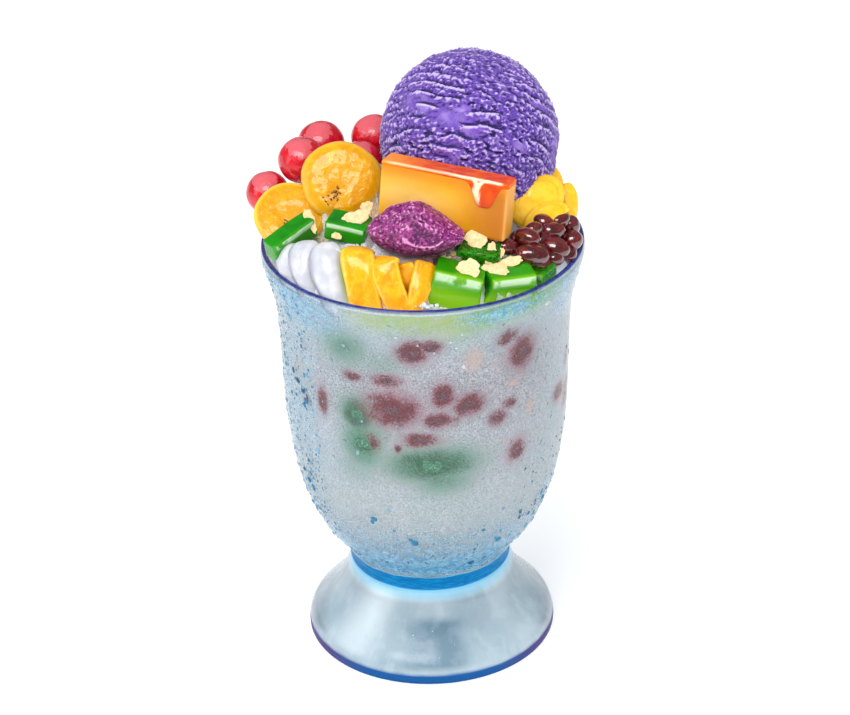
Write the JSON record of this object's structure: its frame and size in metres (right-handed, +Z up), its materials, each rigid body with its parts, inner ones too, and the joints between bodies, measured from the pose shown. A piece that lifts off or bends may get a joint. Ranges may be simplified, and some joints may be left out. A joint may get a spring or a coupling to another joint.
{
  "type": "halo-halo dessert in a goblet",
  "caption": "Halo-halo: milky shaved ice in a footed glass goblet, heaped with a purple yam ice cream scoop, caramel custard, yam jam, cherries, banana, jellies, jackfruit, coconut and beans.",
  "frame": {"origin": "middle of the bounding box's underside, on the plane the foot stands on, 2.45 mm to -X of the glass's axis", "axes": "+Z up along the glass's axis, -Y towards the dessert's front, where the custard slice and the strips face, +X to the right as seen from the front"},
  "size_m": [0.1102, 0.1054, 0.2034],
  "materials": {
    "glass": "clear pressed glass, iced over and beaded with water outside, faint blue at the rim, neck and foot",
    "shaved_ice": "wet milky shaved ice, stands in for ice",
    "yam_ice_cream": "crumbly violet ice cream",
    "custard": "smooth moist custard",
    "caramel": "wet caramel glaze",
    "yam_jam": "moist grainy jam",
    "cherry": "syrup gloss",
    "banana": "syrup gloss",
    "yellow_fruit": "syrup gloss",
    "coconut": "soft satin",
    "jackfruit": "syrup gloss",
    "green_jelly": "clear wet jelly",
    "red_bean": "syrup gloss"
  },
  "bodies": {
    "root": {"glass": "glass", "shaved_ice": "shaved_ice", "ice_cream": "yam_ice_cream", "custard": "custard", "caramel": "caramel", "yam_jam": "yam_jam", "bean_heap": "red_bean", "cherry_1": "cherry", "cherry_2": "cherry", "cherry_3": "cherry", "cherry_4": "cherry", "cherry_5": "cherry", "banana_1": "banana", "banana_2": "banana", "fruit_1": "yellow_fruit", "fruit_2": "yellow_fruit", "fruit_3": "yellow_fruit", "fruit_4": "yellow_fruit", "coconut_1": "coconut", "coconut_2": "coconut", "coconut_3": "coconut", "jackfruit_1": "jackfruit", "jackfruit_2": "jackfruit", "jackfruit_3": "jackfruit", "jackfruit_4": "jackfruit", "jelly_1": "green_jelly", "jelly_2": "green_jelly", "jelly_3": "green_jelly", "jelly_4": "green_jelly", "jelly_5": "green_jelly", "jelly_6": "green_jelly"}
  },
  "joints": []
}
